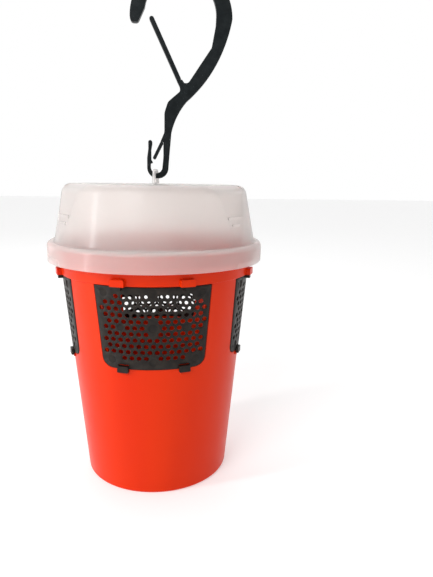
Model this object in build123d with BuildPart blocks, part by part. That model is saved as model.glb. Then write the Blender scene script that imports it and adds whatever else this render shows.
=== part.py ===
"""Hanging insect trap: a tapered bucket, a domed lid, four entry grilles and a tree hook.

Millimetres, +Z up. The origin is the centre of the bucket's foot, on the surface that it
stands on. Azimuth 0 is the front, -Y, and grows towards +X.
"""
from build123d import *
import os
from math import cos, radians, sin, sqrt

os.makedirs("parts", exist_ok=True)

# ---------------------------------------------------------------- driving dimensions
# Bucket: a cone that opens upwards, with a thick collar under its rim.
base_radius = 58.6
wall_slope = 0.0925          # radius gained per millimetre of height
wall = 2.0
foot_height = 1.2            # height of the ring that the bucket stands on
foot_inner_radius = 50.0
collar_z = 167.6             # lower edge of the collar
collar_radius = 75.7
rim_under_z = 184.4
rim_lip_z = 180.0
rim_radius = 82.9
rim_z = 189.8

# Bait: the liquid of one bottle, about 200 ml, in the bottom of the bucket.
bait_depth = 19.3
bait_gap = 0.15

# Entry grilles: curved plates that lie in shallow seats over four windows.
grille_count = 4
grille_top_z = 166.9
grille_bottom_z = 105.5
grille_top_half = 41.4
grille_bottom_half = 36.5
grille_corner = 8.0
grille_proud = 0.5           # how far the plate stands out of the wall
seat_depth = 1.0
seat_gap = 0.25              # radial gap behind the plate
seat_margin = 0.5            # gap round the plate's edge
window_inset = 3.7           # width of the ledge that the plate lies on
hole_radius = 1.75
hole_pitch = 5.19
hole_row_pitch = 4.6
first_row_z = 160.0

# Hinge tabs at the plate's top, in pockets on the collar, and snap clips at its foot.
tab_azimuth = 18.1
tab_width = 4.6
tab_bottom_z = 164.6
tab_top_z = 170.2
tab_inner_radius = 76.6
tab_outer_radius = 78.1
arm_top_z = 167.1
pocket_width = 10.4
pocket_top_z = 172.7
pocket_radius = 79.2
cavity_width = 6.8
cavity_inner_radius = 75.2
cavity_outer_radius = 78.4
cavity_top_z = 171.6
clip_azimuth = 18.5
clip_width = 8.3
clip_bottom_z = 102.9
clip_top_z = 107.7
clip_proud = 2.9
clip_slot = 1.0
catch_bottom_z = 101.2
catch_top_z = 103.8
catch_width = 6.0
catch_proud = 1.2

# Lid: a skirt round the rim, a rounded shoulder and a tall dome.
lid_radius = 85.0
lid_wall = 1.5
skirt_z = 177.7
shoulder_z = 189.2
dome_foot_radius = 79.3
dome_foot_z = 192.4
dome_slope = 0.19            # radius lost per millimetre of height
dome_top_z = 235.8
dome_corner = 7.5
facet_azimuths = (52.5, -60.2, 176.0)
facet_foot_z = 194.0
facet_edge_z = 231.5         # where a facet turns in over the dome's top edge
facet_radius = 70.1          # its distance from the axis there
facet_end_radius = 60.5      # where it runs out in the flat top
pull_tab_angle = 15.0        # a thumb tab on the skirt under each facet
pull_tab_height = 4.5
pull_tab_proud = 0.3
snap_bead = 0.25             # bead inside the skirt, under the rim's lip
snap_bead_z = 178.9

# Hanging eye: a staple-shaped loop on a round plate under the lid's top.
eye_turn = 8.0               # its plane is turned this much from the hook's normal
eye_top_z = 247.6
eye_inner_z = 244.9
eye_top_half = 6.0
eye_leg = 2.9
eye_leg_middle = 9.0
eye_thickness = 2.6
eye_edge = 1.1               # rounding of the loop's long edges
eye_fit = 0.1
eye_plate_radius = 12.0
eye_plate = 1.6

# Tree hook: a flat moulding in the XZ plane.
hook_thickness = 5.0
crook_centre = (20.4, 358.0)
crook_radius = 38.3
throat_centre = (19.8, 360.8)
throat_radius = 26.8
loop_centre = (1.9, 248.5)
loop_radius = 8.3
loop_inner_centre = (0.9, 249.0)
loop_inner_radius = 4.6
branch_gate_root = (18.3, 314.8)
branch_gate_tip = (-1.7, 356.8)
branch_gate_half = 1.75
eye_gate_root = (5.0, 267.2)
eye_gate_tip = (-0.6, 256.1)
eye_gate_half = 1.25
gate_gap = 0.2
hook_edge = 0.4              # bevel on the gates' long edges


# ---------------------------------------------------------------- shared geometry
def wall_radius(z):
    """Outer radius of the bucket's wall at a height."""
    return base_radius + wall_slope * z


def dome_radius(z):
    """Outer radius of the dome's cone at a height."""
    return dome_foot_radius - dome_slope * (z - dome_foot_z)


def outward(azimuth):
    return Vector(sin(radians(azimuth)), -cos(radians(azimuth)), 0)


def face_plane(azimuth, radius=0.0, z=0.0):
    """A plane that faces outwards at an azimuth: x runs round the bucket and y runs up."""
    tangent = Vector(cos(radians(azimuth)), sin(radians(azimuth)), 0)
    return Plane(origin=outward(azimuth) * radius + Vector(0, 0, z), x_dir=tangent, z_dir=outward(azimuth))


def radial_plane(azimuth):
    """A plane through the axis: x runs outwards and y runs up."""
    direction = outward(azimuth)
    return Plane(origin=(0, 0, 0), x_dir=direction, z_dir=direction.cross(Vector(0, 0, 1)))


def block(azimuth, inner, outer, width, low, high, corner=0.0, mode=Mode.ADD):
    """Extrude a block outwards between two radii, in the part that is being built."""
    with BuildSketch(face_plane(azimuth, inner)) as outline:
        with Locations((0, (low + high) / 2)):
            if corner:
                RectangleRounded(width, high - low, corner)
            else:
                Rectangle(width, high - low)
    extrude(outline.sketch, amount=outer - inner, mode=mode)


def grille_outline(margin=0.0, corner=grille_corner):
    """The plate's outline seen from the front, grown by a margin."""
    top = grille_top_z + margin
    bottom = grille_bottom_z - margin
    with BuildSketch(Plane.XZ) as outline:
        with BuildLine():
            FilletPolyline(
                (-grille_top_half - margin, top),
                (-grille_bottom_half - margin, bottom),
                (grille_bottom_half + margin, bottom),
                (grille_top_half + margin, top),
                radius=[0.8, corner, corner, 0.8],
                close=True,
            )
        make_face()
    return outline.sketch


def wall_band(inner_offset, outer_offset):
    """The half section of a ring that follows the wall's cone."""
    low = grille_bottom_z - 10
    high = collar_z + 6
    with BuildSketch(Plane.XZ) as section:
        with BuildLine():
            Polyline(
                (wall_radius(low) + inner_offset, low),
                (wall_radius(low) + outer_offset, low),
                (wall_radius(high) + outer_offset, high),
                (wall_radius(high) + inner_offset, high),
                close=True,
            )
        make_face()
    return section.sketch


grille_azimuths = [index * 360 / grille_count for index in range(grille_count)]

# ---------------------------------------------------------------- bucket
floor_z = foot_height + wall
inner_step_low = collar_z - 1.6
inner_step_high = collar_z + 1.4
collar_top_radius = collar_radius + wall_slope * (rim_under_z - collar_z)
inner_top_radius = collar_top_radius - wall

with BuildPart() as window_cut:
    extrude(grille_outline(-window_inset, corner=5.0), amount=rim_radius)

with BuildPart() as seat_cut:
    extrude(grille_outline(seat_margin), amount=rim_radius)
    revolve(wall_band(-seat_depth, 6.0), axis=Axis.Z, mode=Mode.INTERSECT)

with BuildPart() as bucket_body:
    with BuildSketch(Plane.XZ):
        with BuildLine():
            FilletPolyline(
                (0, foot_height),
                (foot_inner_radius, foot_height),
                (foot_inner_radius + 0.6, 0),
                (base_radius, 0),
                (wall_radius(collar_z), collar_z),
                (collar_radius, collar_z),
                (collar_top_radius, rim_under_z),
                (rim_radius - wall, rim_under_z),
                (rim_radius - wall, rim_lip_z),
                (rim_radius, rim_lip_z),
                (rim_radius, rim_z),
                (inner_top_radius, rim_z),
                (collar_radius - wall, inner_step_high),
                (wall_radius(inner_step_low) - wall, inner_step_low),
                (wall_radius(floor_z) - wall, floor_z),
                (0, floor_z),
                radius=[0, 0, 0.3, 2.5, 0, 0.4, 1.0, 0.5, 0.4, 0.4, 3.0, 1.0, 1.5, 1.5, 2.0, 0],
                close=True,
            )
        make_face()
    revolve(axis=Axis.Z)
    for azimuth in grille_azimuths:
        add(window_cut.part, rotation=(0, 0, azimuth), mode=Mode.SUBTRACT)
        add(seat_cut.part, rotation=(0, 0, azimuth), mode=Mode.SUBTRACT)
        for side in (-1, 1):
            pocket = azimuth + side * tab_azimuth
            pocket_root = collar_radius - 1.6
            block(pocket, pocket_root, pocket_radius, pocket_width, collar_z, pocket_top_z, corner=1.0)
            block(pocket, pocket_root, pocket_radius, pocket_width, collar_z, collar_z + 2)
            block(pocket, cavity_inner_radius, cavity_outer_radius, cavity_width, collar_z - 1, cavity_top_z,
                  mode=Mode.SUBTRACT)
            catch = azimuth + side * clip_azimuth
            catch_radius = wall_radius(catch_bottom_z)
            block(catch, catch_radius - 1.0, catch_radius + catch_proud, catch_width, catch_bottom_z,
                  catch_top_z, corner=0.6)

# ---------------------------------------------------------------- bait liquid
with BuildPart() as bait_liquid:
    with BuildSketch(Plane.XZ):
        low = floor_z + bait_gap
        high = low + bait_depth
        with BuildLine():
            FilletPolyline(
                (0, low),
                (wall_radius(low) - wall - bait_gap, low),
                (wall_radius(high) - wall - bait_gap, high),
                (0, high),
                radius=[0, 2.1, 0, 0],
                close=True,
            )
        make_face()
    revolve(axis=Axis.Z)

# ---------------------------------------------------------------- entry grille
plate_inner = seat_gap - seat_depth


def columns(outermost, missing=()):
    """Hole columns of a row, in pitches from the middle, from one end to the other."""
    count = int(2 * outermost) + 1
    return [index - outermost for index in range(count) if index - outermost not in missing]


hole_rows = [
    columns(5, [0]),
    columns(6.5),
    columns(7),
    columns(6.5),
    columns(7, [-7, 0]),
    columns(6.5, [-4.5, -0.5, 0.5, 4.5]),
    columns(6, [0]),
    columns(6.5),
    columns(6),
    columns(6.5),
    columns(4, [0]),
]
hole_places = [
    (column * hole_pitch, first_row_z - row * hole_row_pitch)
    for row, places in enumerate(hole_rows)
    for column in places
]
# Flat round moulding pads: azimuth, height and radius.
pads = [(0, 163.2, 2.9), (0, 137.3, 3.0), (0, 111.2, 2.8)]
for side in (-1, 1):
    pads += [(side * 28.0, 162.0, 2.9), (side * 18.7, 137.4, 2.3), (side * 25.7, 112.0, 3.0)]
pad_tilt = 0.7               # how much of its azimuth a pad's face turns with the plate
pad_recess = 0.4
pad_depth = 0.35

with BuildPart() as front_grille:
    extrude(grille_outline(), amount=rim_radius)
    revolve(wall_band(plate_inner, grille_proud), axis=Axis.Z, mode=Mode.INTERSECT)
    for azimuth, height, radius in pads:
        middle = outward(azimuth) * (wall_radius(height) + grille_proud - pad_recess) + Vector(0, 0, height)
        flat = face_plane(azimuth * pad_tilt)
        flat.origin = middle
        with BuildSketch(flat):
            Circle(radius)
        extrude(amount=2.0, mode=Mode.SUBTRACT)
        with BuildSketch(flat):
            Circle(radius)
        extrude(amount=-pad_depth)
    with BuildSketch(Plane.XZ):
        with Locations(hole_places):
            Circle(hole_radius)
    extrude(amount=rim_radius, mode=Mode.SUBTRACT)
    for side in (-1, 1):
        tab = side * tab_azimuth
        arm_root = wall_radius(tab_bottom_z) - 0.3
        block(tab, arm_root, tab_outer_radius, tab_width, tab_bottom_z, arm_top_z, corner=0.5)
        block(tab, tab_inner_radius, tab_outer_radius, tab_width, tab_bottom_z, tab_top_z, corner=0.5)
        clip = side * clip_azimuth
        clip_radius = wall_radius(clip_bottom_z)
        block(clip, clip_radius - 2, clip_radius + 5, clip_width, clip_top_z, clip_top_z + clip_slot,
              mode=Mode.SUBTRACT)
        block(clip, clip_radius + 0.9, clip_radius + clip_proud, clip_width, clip_bottom_z, clip_top_z,
              corner=0.6)
        block(clip, clip_radius - 1, clip_radius + catch_proud + 0.35, catch_width + 0.8, clip_bottom_z - 1,
              catch_top_z + 0.4, mode=Mode.SUBTRACT)

# ---------------------------------------------------------------- hanging eye
eye_plane = Plane.YZ.rotated((0, 0, -eye_turn))
eye_base_z = dome_top_z - lid_wall - eye_fit
eye_hole_width = eye_thickness + 2 * eye_fit

with BuildPart() as hanging_eye:
    with BuildSketch(eye_plane) as staple:
        with BuildLine():
            FilletPolyline(
                (-eye_leg_middle - eye_leg / 2, eye_base_z - eye_plate / 2),
                (-eye_leg_middle - eye_leg / 2, dome_top_z + 1),
                (-eye_top_half, eye_top_z),
                (eye_top_half, eye_top_z),
                (eye_leg_middle + eye_leg / 2, dome_top_z + 1),
                (eye_leg_middle + eye_leg / 2, eye_base_z - eye_plate / 2),
                radius=[0, 4.0, 4.0, 0],
            )
            FilletPolyline(
                (-eye_leg_middle - eye_leg / 2, eye_base_z - eye_plate / 2),
                (-eye_leg_middle + eye_leg / 2, eye_base_z - eye_plate / 2),
                (-eye_leg_middle + eye_leg / 2, dome_top_z + 1),
                (eye_leg - eye_top_half - 0.6, eye_inner_z),
                (eye_top_half - eye_leg + 0.6, eye_inner_z),
                (eye_leg_middle - eye_leg / 2, dome_top_z + 1),
                (eye_leg_middle - eye_leg / 2, eye_base_z - eye_plate / 2),
                (eye_leg_middle + eye_leg / 2, eye_base_z - eye_plate / 2),
                radius=[0, 0, 1.6, 1.6, 0, 0],
            )
        make_face()
    extrude(amount=eye_thickness / 2, both=True)
    rounded = [edge for edge in hanging_eye.edges() if edge.center().Z > dome_top_z + 3]
    along = [edge for edge in rounded if abs(edge.tangent_at(0.5).dot(eye_plane.z_dir)) < 0.5]
    fillet(along, radius=eye_edge)
    with BuildSketch(Plane.XY.offset(eye_base_z - eye_plate)):
        Circle(eye_plate_radius)
    extrude(amount=eye_plate)

# ---------------------------------------------------------------- lid
facet_reach = 22.0
rib_reach = 0.15             # how far a stacking rib stands past the dome's cone
ribs = [(212.7, 2.2, 21.0), (207.8, 1.8, 11.8)]   # height, thickness and length


def dome_section(inset):
    """Half of the dome and its skirt, filled in, and shrunk by an inset."""
    with BuildSketch(Plane.XZ) as section:
        with BuildLine():
            shoulder = ThreePointArc(
                (lid_radius - inset, shoulder_z - inset * 0.3),
                (lid_radius - 0.8 - inset, shoulder_z + 2.1 - inset * 0.8),
                (dome_foot_radius + 0.6 - inset * 0.9, dome_foot_z - 0.2 - inset),
            )
            FilletPolyline(
                shoulder @ 1,
                (dome_radius(dome_foot_z + 1) - inset, dome_foot_z + 1 - inset * 0.9),
                (dome_radius(dome_top_z) - inset * 1.02, dome_top_z - inset),
                (0, dome_top_z - inset),
                radius=[0.5, dome_corner - inset],
            )
            Polyline((0, dome_top_z - inset), (0, skirt_z), (lid_radius - inset, skirt_z), shoulder @ 0)
        make_face()
    return section.sketch


def cut_facets(inset):
    """Flatten the dome where its three stacking facets are, from the top edge to its foot."""
    for azimuth in facet_azimuths:
        with BuildSketch(radial_plane(azimuth)) as beyond:
            with BuildLine():
                FilletPolyline(
                    (dome_radius(facet_foot_z) - inset, facet_foot_z),
                    (facet_radius - inset, facet_edge_z - inset * 0.9),
                    (facet_end_radius - inset, dome_top_z + 0.5 - inset),
                    (lid_radius + 5, dome_top_z + 5),
                    (lid_radius + 5, facet_foot_z),
                    radius=[0, dome_corner - 1.5, 0, 0, 0],
                    close=True,
                )
            make_face()
        extrude(beyond.sketch, amount=facet_reach, both=True, mode=Mode.SUBTRACT)


with BuildPart() as lid_hollow:
    revolve(dome_section(lid_wall), axis=Axis.Z)
    cut_facets(lid_wall)

with BuildPart() as lid:
    revolve(dome_section(0), axis=Axis.Z)
    cut_facets(0)
    for azimuth in facet_azimuths:
        for height, thickness, length in ribs:
            rib_radius = dome_radius(height) + rib_reach
            rib_foot = height - thickness / 2
            block(azimuth, rib_radius - 2.0, rib_radius, length, rib_foot, rib_foot + thickness,
                  corner=thickness * 0.4)
        tab_start = radial_plane(azimuth - pull_tab_angle / 2)
        with BuildSketch(tab_start) as tab_section:
            with Locations((lid_radius - 0.5 + pull_tab_proud / 2, skirt_z + pull_tab_height / 2)):
                RectangleRounded(1.0 + pull_tab_proud, pull_tab_height, 0.14)
        revolve(tab_section.sketch, axis=Axis.Z, revolution_arc=pull_tab_angle)
    add(lid_hollow.part, mode=Mode.SUBTRACT)
    with BuildSketch(Plane.XZ) as bead_section:
        with Locations((lid_radius - lid_wall, snap_bead_z)):
            Circle(snap_bead)
    revolve(bead_section.sketch, axis=Axis.Z)
    with BuildSketch(eye_plane.offset(-eye_hole_width / 2)) as leg_holes:
        with Locations((-eye_leg_middle, dome_top_z), (eye_leg_middle, dome_top_z)):
            Rectangle(eye_leg + 2 * eye_fit, 4 * lid_wall)
    extrude(leg_holes.sketch, amount=eye_hole_width, mode=Mode.SUBTRACT)

# ---------------------------------------------------------------- tree hook and its gates
def at_angle(centre, radius, angle):
    """A point on a circle; 0 degrees is along +X and 90 is up."""
    return (centre[0] + radius * cos(radians(angle)), centre[1] + radius * sin(radians(angle)))


def gate_strip(root, tip, half):
    """A round-ended strip from the root to the tip."""
    length = sqrt((tip[0] - root[0]) ** 2 + (tip[1] - root[1]) ** 2)
    direction = (Vector(*tip) - Vector(*root)).normalized()
    strip_plane = Plane(origin=(root[0], 0, root[1]), x_dir=(direction.X, 0, direction.Y), z_dir=(0, -1, 0))
    with BuildSketch(strip_plane) as strip:
        with Locations((length / 2, 0)):
            SlotCenterToCenter(length, 2 * half)
    return strip.sketch


crook_start = at_angle(crook_centre, crook_radius, 180)
crook_end = at_angle(crook_centre, crook_radius, 0)
throat_start = at_angle(throat_centre, throat_radius, 0)
throat_end = at_angle(throat_centre, throat_radius, 172)
shaft_bend = (24.5, 298.6)
neck_end = (12.6, 275.0)
loop_right = at_angle(loop_centre, loop_radius, 0)
loop_left = at_angle(loop_centre, loop_radius, 180)
inner_left = at_angle(loop_inner_centre, loop_inner_radius, 180)
inner_right = at_angle(loop_inner_centre, loop_inner_radius, 0)

with BuildPart() as tree_hook:
    with BuildSketch(Plane.XZ) as hook_outline:
        with BuildLine():
            ThreePointArc(crook_start, at_angle(crook_centre, crook_radius, 90), crook_end)
            ThreePointArc(crook_end, (47.3, 326.3), shaft_bend)
            ThreePointArc(shaft_bend, (16.8, 287.0), neck_end)
            Polyline(neck_end, (11.0, 258.0), loop_right)
            ThreePointArc(loop_right, at_angle(loop_centre, loop_radius, -90), loop_left)
            FilletPolyline(
                loop_left,
                (-6.35, 256.0),
                (-5.35, 263.0),
                (-5.35, 269.4),
                (-2.3, 269.4),
                (-2.3, 266.5),
                (-3.15, 262.0),
                (-3.15, 254.6),
                (-2.1, 252.9),
                (-2.1, 252.0),
                (-3.6, 251.6),
                inner_left,
                radius=[6.0, 6.0, 1.5, 1.5, 1.0, 2.0, 0.5, 0.2, 0.2, 0.2],
            )
            ThreePointArc(inner_left, at_angle(loop_inner_centre, loop_inner_radius, -90), inner_right)
            FilletPolyline(
                inner_right,
                (6.35, 257.0),
                (6.35, 267.0),
                (3.8, 267.6),
                (7.2, 275.4),
                (7.3, 290.0),
                (10.0, 298.0),
                (19.3, 305.8),
                (19.3, 308.9),
                (16.7, 313.9),
                (20.9, 314.4),
                (22.6, 311.9),
                (25.6, 311.9),
                (43.4, 337.8),
                (46.4, 354.0),
                throat_start,
                radius=[20.0, 0.9, 0.4, 6.0, 8.0, 6.0, 2.0, 2.0, 0.4, 0.4, 1.5, 3.0, 5.0, 10.0],
            )
            ThreePointArc(throat_start, at_angle(throat_centre, throat_radius, 86), throat_end)
            FilletPolyline(throat_end, (-11.9, 354.0), (-17.4, 354.0), crook_start, radius=[2.6, 2.6])
        make_face()
        for root, half in ((branch_gate_root, branch_gate_half), (eye_gate_root, eye_gate_half)):
            with Locations(root):
                Circle(half + gate_gap, mode=Mode.SUBTRACT)
    extrude(amount=hook_thickness / 2, both=True)

with BuildPart() as hook_branch_gate:
    branch_strip = gate_strip(branch_gate_root, branch_gate_tip, branch_gate_half)
    extrude(branch_strip, amount=hook_thickness / 2, both=True)
    chamfer(hook_branch_gate.faces().filter_by(Axis.Y).edges(), length=hook_edge)

with BuildPart() as hook_eye_gate:
    eye_strip = gate_strip(eye_gate_root, eye_gate_tip, eye_gate_half)
    extrude(eye_strip, amount=hook_thickness / 2, both=True)
    chamfer(hook_eye_gate.faces().filter_by(Axis.Y).edges(), length=hook_edge)

# ---------------------------------------------------------------- write the parts
named_parts = {
    "bucket_body": bucket_body,
    "bait_liquid": bait_liquid,
    "lid": lid,
    "hanging_eye": hanging_eye,
    "tree_hook": tree_hook,
    "hook_branch_gate": hook_branch_gate,
    "hook_eye_gate": hook_eye_gate,
}
for side_name, azimuth in zip(("front", "right", "back", "left"), grille_azimuths):
    with BuildPart() as grille:
        add(front_grille.part, rotation=(0, 0, azimuth))
    named_parts[f"grille_{side_name}"] = grille
for name, builder in named_parts.items():
    builder.part.label = name
    export_step(builder.part, f"parts/{name}.step", write_pcurves=False)
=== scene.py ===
import bmesh
import bpy
from math import cos, radians, sin
from mathutils import Matrix, Vector

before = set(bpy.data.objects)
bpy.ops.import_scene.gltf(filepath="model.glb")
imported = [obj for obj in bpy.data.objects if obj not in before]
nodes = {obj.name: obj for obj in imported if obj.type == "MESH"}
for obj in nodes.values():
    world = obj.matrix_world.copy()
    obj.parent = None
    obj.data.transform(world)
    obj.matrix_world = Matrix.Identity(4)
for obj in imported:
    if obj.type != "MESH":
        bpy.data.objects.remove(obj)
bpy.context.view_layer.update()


# ---------------------------------------------------------------- materials
def new_material(name, **sockets):
    """A Principled material with the given constant socket values."""
    material = bpy.data.materials.new(name)
    material.use_nodes = True
    shader = material.node_tree.nodes["Principled BSDF"]
    for key, value in sockets.items():
        shader.inputs[key.replace("_", " ")].default_value = value
    return material, shader


def noise(material, scale, detail, stretch=(1.0, 1.0, 1.0)):
    """A noise texture in object coordinates, so it keeps its size in metres."""
    tree = material.node_tree
    place = tree.nodes.new("ShaderNodeTexCoord")
    mapping = tree.nodes.new("ShaderNodeMapping")
    mapping.inputs["Scale"].default_value = stretch
    texture = tree.nodes.new("ShaderNodeTexNoise")
    texture.inputs["Scale"].default_value = scale
    texture.inputs["Detail"].default_value = detail
    tree.links.new(place.outputs["Object"], mapping.inputs["Vector"])
    tree.links.new(mapping.outputs["Vector"], texture.inputs["Vector"])
    return texture.outputs["Fac"]


def ramp(material, source, stops, target):
    """Map a noise value to colours or greys and send it to a shader socket."""
    tree = material.node_tree
    colours = tree.nodes.new("ShaderNodeValToRGB")
    elements = colours.color_ramp.elements
    for element, (place, colour) in zip(elements, stops):
        element.position = place
        element.color = colour
    tree.links.new(source, colours.inputs["Fac"])
    tree.links.new(colours.outputs["Color"], target)


def grey(value):
    return (value, value, value, 1.0)


def bump(material, shader, layers):
    """Chain bump layers: each is a height source, a strength and a depth in metres."""
    tree = material.node_tree
    before = None
    for source, strength, depth in layers:
        node = tree.nodes.new("ShaderNodeBump")
        node.inputs["Strength"].default_value = strength
        node.inputs["Distance"].default_value = depth
        tree.links.new(source, node.inputs["Height"])
        if before:
            tree.links.new(before.outputs["Normal"], node.inputs["Normal"])
        before = node
    tree.links.new(before.outputs["Normal"], shader.inputs["Normal"])


def bucket_material():
    """Glossy orange-red polypropylene with faint flow streaks and orange peel."""
    material, shader = new_material("bucket_red", IOR=1.49, Specular_IOR_Level=0.13)
    streaks = noise(material, 14, 3, (1, 1, 0.2))
    ramp(material, streaks, [(0.35, (0.60, 0.021, 0.0, 1)), (0.65, (0.67, 0.029, 0.0, 1))],
         shader.inputs["Base Color"])
    ramp(material, noise(material, 60, 4), [(0.3, grey(0.30)), (0.7, grey(0.36))], shader.inputs["Roughness"])
    bump(material, shader, [(noise(material, 9, 0, (1, 1, 0.5)), 0.2, 0.001)])
    return material


def milky_material(name, colour, transmission, roughness):
    """Frosted polypropylene: light passes through it and is scattered."""
    material, shader = new_material(
        name, Transmission_Weight=transmission, IOR=1.25, Coat_Weight=0.12, Coat_Roughness=0.12
    )
    low = tuple(channel * 0.95 for channel in colour) + (1.0,)
    ramp(material, noise(material, 18, 3), [(0.3, low), (0.7, colour + (1.0,))], shader.inputs["Base Color"])
    ramp(material, noise(material, 45, 4), [(0.3, grey(roughness - 0.03)), (0.7, grey(roughness + 0.04))],
         shader.inputs["Roughness"])
    bump(material, shader, [(noise(material, 24, 0, (1, 1, 0.3)), 0.08, 0.0006)])
    return material


def black_material(name, dark, light, roughness, grain):
    """Moulded black plastic with a fine spark-eroded grain."""
    material, shader = new_material(name, IOR=1.47, Specular_IOR_Level=0.22)
    ramp(material, noise(material, 220, 5), [(0.35, dark + (1.0,)), (0.7, light + (1.0,))],
         shader.inputs["Base Color"])
    ramp(material, noise(material, 90, 4), [(0.3, grey(roughness - 0.07)), (0.7, grey(roughness + 0.08))],
         shader.inputs["Roughness"])
    fine = (noise(material, 1500, 4), grain, 0.00015)
    broad = (noise(material, 60, 2), 0.08, 0.0005)
    bump(material, shader, [fine, broad])
    return material


def bait_material():
    """Brown liquid with a little sediment."""
    material, shader = new_material("bait", Transmission_Weight=0.35, IOR=1.34)
    ramp(material, noise(material, 40, 5), [(0.3, (0.11, 0.04, 0.015, 1)), (0.7, (0.24, 0.11, 0.055, 1))],
         shader.inputs["Base Color"])
    ramp(material, noise(material, 25, 2), [(0.3, grey(0.05)), (0.7, grey(0.12))], shader.inputs["Roughness"])
    bump(material, shader, [(noise(material, 30, 2), 0.1, 0.0005)])
    return material


# ---------------------------------------------------------------- finish of the CAD nodes
bucket_red = bucket_material()
lid_clear = milky_material("lid_clear", (0.99, 0.945, 0.92), 0.8, 0.35)
eye_clear = milky_material("eye_clear", (0.95, 0.93, 0.92), 0.5, 0.20)
grille_black = black_material("grille_black", (0.008, 0.006, 0.005), (0.020, 0.015, 0.011), 0.42, 0.3)
hook_black = black_material("hook_black", (0.003, 0.005, 0.006), (0.008, 0.011, 0.012), 0.36, 0.15)

grille_edge = 0.00015        # bevel widths, in metres
hook_edge = 0.0006
weld_distance = 0.000001
bevel_segments = 2
bevel_angle = radians(50)    # edges that turn by less than this stay as they are

finishes = {
    "bucket_body": (bucket_red, 0.0),
    "bait_liquid": (bait_material(), 0.0),
    "lid": (lid_clear, 0.0),
    "hanging_eye": (eye_clear, 0.0),
    "grille_front": (grille_black, grille_edge),
    "grille_right": (grille_black, grille_edge),
    "grille_back": (grille_black, grille_edge),
    "grille_left": (grille_black, grille_edge),
    "tree_hook": (hook_black, hook_edge),
    "hook_branch_gate": (hook_black, 0.0),
    "hook_eye_gate": (hook_black, 0.0),
}
for name, (material, edge) in finishes.items():
    node = nodes[name]
    node.data.materials.clear()
    node.data.materials.append(material)
    if edge:
        # The imported mesh is split along its sharp edges, so they are joined before the bevel.
        weld = node.modifiers.new("join", "WELD")
        weld.merge_threshold = weld_distance
        bevel = node.modifiers.new("edge", "BEVEL")
        bevel.width = edge
        bevel.segments = bevel_segments
        bevel.limit_method = "ANGLE"
        bevel.angle_limit = bevel_angle
        bevel.harden_normals = True


# ---------------------------------------------------------------- floor, light and camera
def mesh_object(name, bm, material):
    """Link a smooth-shaded object with this mesh and material."""
    mesh = bpy.data.meshes.new(name)
    bm.to_mesh(mesh)
    bm.free()
    mesh.materials.append(material)
    for polygon in mesh.polygons:
        polygon.use_smooth = True
    piece = bpy.data.objects.new(name, mesh)
    bpy.context.scene.collection.objects.link(piece)
    return piece


floor_half = 6.0
floor_cells = 8
floor_material, floor_shader = new_material("pale_floor", Roughness=0.7, Emission_Strength=0.35)
floor_shader.inputs["Base Color"].default_value = (0.75, 0.75, 0.75, 1.0)
floor_shader.inputs["Emission Color"].default_value = (1.0, 1.0, 1.0, 1.0)
floor_mesh = bmesh.new()
bmesh.ops.create_grid(floor_mesh, x_segments=floor_cells, y_segments=floor_cells, size=floor_half)
floor = mesh_object("floor", floor_mesh, floor_material)

# The room is bright behind the object and dimmer in front, with a smooth change between.
world = bpy.data.worlds.new("studio")
bpy.context.scene.world = world
world.use_nodes = True
room = world.node_tree
room.nodes["Background"].inputs["Color"].default_value = (1.0, 1.0, 1.0, 1.0)
direction = room.nodes.new("ShaderNodeTexCoord")
along = room.nodes.new("ShaderNodeSeparateXYZ")
brightness = room.nodes.new("ShaderNodeMapRange")
brightness.interpolation_type = "SMOOTHSTEP"
for socket, value in (("From Min", -0.3), ("From Max", 0.5), ("To Min", 0.45), ("To Max", 1.0)):
    brightness.inputs[socket].default_value = value
room.links.new(direction.outputs["Generated"], along.inputs["Vector"])
room.links.new(along.outputs["Y"], brightness.inputs["Value"])
room.links.new(brightness.outputs["Result"], room.nodes["Background"].inputs["Strength"])


def soft_light(name, place, aim, size, watts):
    """A rectangular lamp at a place, turned to face a point."""
    lamp = bpy.data.lights.new(name, "AREA")
    lamp.shape = "RECTANGLE"
    lamp.size, lamp.size_y = size
    lamp.energy = watts
    light = bpy.data.objects.new(name, lamp)
    light.location = place
    light.rotation_euler = (Vector(aim) - Vector(place)).to_track_quat("-Z", "Y").to_euler()
    bpy.context.scene.collection.objects.link(light)
    return light


middle = (0, 0, 0.15)
soft_light("key", (-0.7, -1.2, 1.1), middle, (0.8, 0.9), 13)
strip = soft_light("strip", (-0.95, -0.35, 0.35), middle, (0.10, 0.9), 6.5)
strip.visible_transmission = False   # it lights the bucket, and does not glare through the lid
soft_light("fill", (1.3, -0.7, 0.7), middle, (0.8, 0.8), 0.6)
soft_light("back", (-0.3, 1.2, 1.1), middle, (1.2, 0.8), 1.5)

lens = 32.6                  # in millimetres, like the sensor, whose size is along the longer side
sensor = 36.0
nearest = 0.01
camera_place = Vector((0.0159, -0.4266, 0.2411))
heading = radians(4.54)
pitch = radians(-11.92)
roll = radians(0.83)
forward = Vector((sin(heading) * cos(pitch), cos(heading) * cos(pitch), sin(pitch)))
level = Vector((cos(heading), -sin(heading), 0))
upright = level.cross(forward)
right = level * cos(roll) + upright * sin(roll)
up = right.cross(forward)
camera_data = bpy.data.cameras.new("camera")
camera_data.lens = lens
camera_data.sensor_width = sensor
camera_data.clip_start = nearest
camera = bpy.data.objects.new("camera", camera_data)
turn = Matrix((right, up, -forward)).transposed().to_4x4()
camera.matrix_world = Matrix.Translation(camera_place) @ turn
bpy.context.scene.collection.objects.link(camera)
bpy.context.scene.camera = camera
bpy.context.scene.view_settings.view_transform = "Standard"
